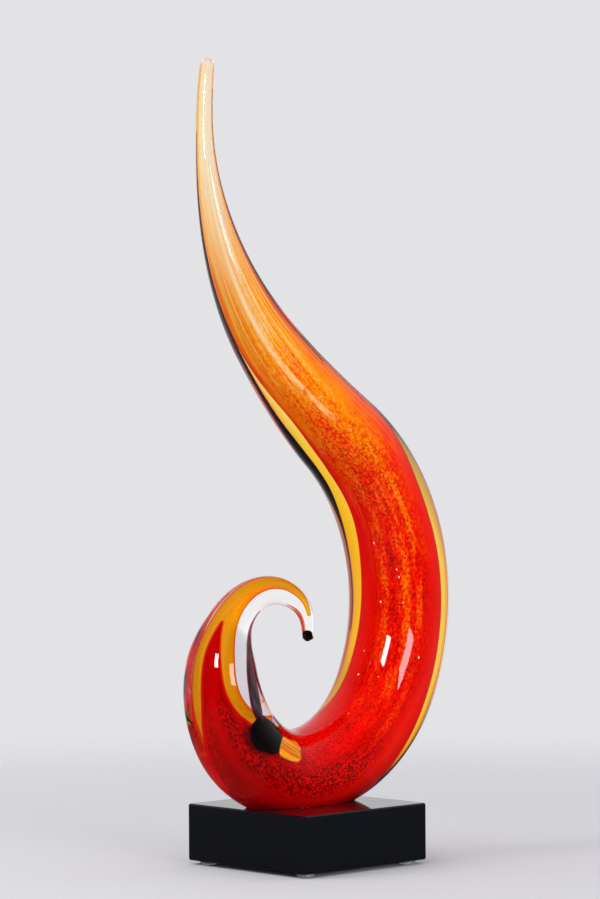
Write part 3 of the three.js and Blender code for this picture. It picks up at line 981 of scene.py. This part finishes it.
class FLAME_OT_studio(bpy.types.Operator):
    """Sets the plain floor, the soft light and the camera"""

    bl_idname = "flame.studio"
    bl_label = "Studio and camera"

    def execute(self, context):
        scene, studio = context.scene, context.scene.studio
        x, y, _ = underside("base_block")
        middle = Vector((x, y, 0))
        self.camera(scene, studio, middle)
        self.floor(scene, studio)
        self.surroundings(scene, studio)
        self.lamps(scene, studio, middle)
        scene.view_settings.view_transform = "Standard"
        scene.view_settings.look = "None"
        for setting, count in BOUNCES.items():
            setattr(scene.cycles, setting, count)
        return {"FINISHED"}

    def directions(self, studio):
        """To the right in the picture, and ahead from the camera."""
        a = studio.camera_side
        return Vector((math.cos(a), -math.sin(a), 0)), Vector((math.sin(a), math.cos(a), 0))

    def camera(self, scene, studio, middle):
        right, ahead = self.directions(studio)
        up = Vector((0, 0, 1))
        across = math.cos(ROLL) * right - math.sin(ROLL) * up
        above = math.sin(ROLL) * right + math.cos(ROLL) * up
        data = bpy.data.cameras.new("camera")
        data.lens, data.sensor_width = LENS, SENSOR_WIDTH
        data.shift_x, data.shift_y = SHIFT
        camera = bpy.data.objects.new("camera", data)
        camera.matrix_world = Matrix((across, above, -ahead)).transposed().to_4x4()
        camera.location = middle - ahead * studio.camera_distance + up * studio.camera_height
        scene.collection.objects.link(camera)
        scene.camera = camera

    def floor(self, scene, studio):
        b = bmesh.new()
        bmesh.ops.create_circle(b, cap_ends=True, segments=128, radius=FLOOR_RADIUS)
        mesh = bpy.data.meshes.new("floor")
        b.to_mesh(mesh)
        b.free()
        mesh.materials.append(matt_floor(studio.floor))
        floor = bpy.data.objects.new("floor", mesh)
        scene.collection.objects.link(floor)

    def surroundings(self, scene, studio):
        """A pale room. What the glass mirrors from the camera's side is dim, as with black
        cloth round the lens. Seen through the glass, the room darkens towards two sides,
        which draws the glass's edges."""
        world = bpy.data.worlds.new("pale_room")
        world.use_nodes = True
        tree = world.node_tree
        tree.nodes.clear()
        _, ahead = self.directions(studio)
        sideways = Matrix.Rotation(DARK_SIDE, 3, "Z") @ ahead
        toward = add(tree, "TexCoord").outputs["Generated"]
        aside = add(tree, "VectorMath", toward, tuple(sideways), operation="DOT_PRODUCT")
        aside = add(tree, "Math", aside.outputs["Value"], operation="ABSOLUTE")
        through = add(tree, "ValToRGB", aside, stops=[
            (0.25, 1.18), (0.55, 1.3), (0.88, 1.3), (0.955, 0.6), (1.0, 0.45)])
        facing = add(tree, "VectorMath", toward, tuple(ahead), operation="DOT_PRODUCT")
        facing = add(tree, "MapRange", facing.outputs["Value"], -1.0, 1.0)
        mirrored = add(tree, "ValToRGB", facing, stops=[
            (0.0, 0.02), (0.3, 0.05), (0.5, 0.18), (0.75, 0.5), (0.94, 0.65), (1.0, 1.05)])
        rays = add(tree, "LightPath").outputs
        level = studio.fill / studio.daylight
        for ray, shown in (("Glossy", mirrored), ("Transmission", through), ("Camera", 1.0)):
            level = add(tree, "Mix", named={0: rays[f"Is {ray} Ray"], 2: level, 3: shown})
        shade = add(
            tree, "Mix", data_type="RGBA", blend_type="MULTIPLY",
            named={0: 1.0, 6: level, 7: linear("#FCFCFF", 1)},
        )
        add(tree, "OutputWorld", add(tree, "Background", shade.outputs[2], studio.daylight))
        scene.world = world

    def lamps(self, scene, studio, middle):
        """Strips that only show as highlights in the glass, and cards and a softbox that
        only light it. Each row has the lamp's degrees to the right of the camera and above
        the floor, its distance, width, height and level, and whether it is mirrored."""
        right, ahead = self.directions(studio)
        target = middle + Vector((0, 0, LAMP_TARGET))
        for name, side, rise, far, wide, tall, level, mirrored in (
            ("left_strip", -15, 22, 1.6, 0.3, 0.42, 26, True),
            ("right_strip", 35, 10, 1.8, 0.46, 0.4, 9, True),
            ("low_card", 36, 8, 4.0, 2.3, 1.2, 8.8, False),
            ("left_card", -75, 32, 1.6, 0.7, 0.6, 4.5, False),
            ("overhead_softbox", -50, 62, 1.8, 1.2, 1.2, 1.6, False),
        ):
            a, e = math.radians(side), math.radians(rise)
            outward = -ahead * math.cos(a) + right * math.sin(a)
            way = outward * math.cos(e) + Vector((0, 0, math.sin(e)))
            data = bpy.data.lights.new(name, "AREA")
            data.shape, data.size, data.size_y = "RECTANGLE", wide, tall
            data.energy = level * math.pi * wide * tall
            lamp = bpy.data.objects.new(name, data)
            lamp.location = target + way * far
            lamp.rotation_euler = way.to_track_quat("Z", "Y").to_euler()
            lamp.visible_camera = False
            lamp.visible_glossy, lamp.visible_transmission = mirrored, False
            lamp.visible_diffuse = not mirrored
            scene.collection.objects.link(lamp)


class FLAME_PT_panel(bpy.types.Panel):
    bl_label = "Glass flame"
    bl_space_type = "VIEW_3D"
    bl_region_type = "UI"
    bl_category = "Glass flame"

    def draw(self, context):
        for settings in GROUPS:
            group = getattr(context.scene, settings)
            for name in group.bl_rna.properties.keys():
                if name not in ("rna_type", "name"):
                    self.layout.prop(group, name)
        for operator in OPERATORS:
            self.layout.operator(operator.bl_idname)


GROUPS = {
    "flame_sizes": FlameSizes,
    "block_sizes": BlockSizes,
    "glass_colours": GlassColours,
    "studio": StudioSettings,
}
OPERATORS = (
    FLAME_OT_casing,
    FLAME_OT_amber,
    FLAME_OT_ruby,
    FLAME_OT_streaks,
    FLAME_OT_block,
    FLAME_OT_studio,
)


def register():
    for cls in (*GROUPS.values(), *OPERATORS, FLAME_PT_panel):
        bpy.utils.register_class(cls)
    for name, group in GROUPS.items():
        setattr(bpy.types.Scene, name, PointerProperty(type=group))


def unregister():
    for name in GROUPS:
        delattr(bpy.types.Scene, name)
    for cls in reversed((*GROUPS.values(), *OPERATORS, FLAME_PT_panel)):
        bpy.utils.unregister_class(cls)


def main():
    register()
    for operator in OPERATORS:
        group, name = operator.bl_idname.split(".")
        getattr(getattr(bpy.ops, group), name)()


if __name__ == "__main__":
    main()
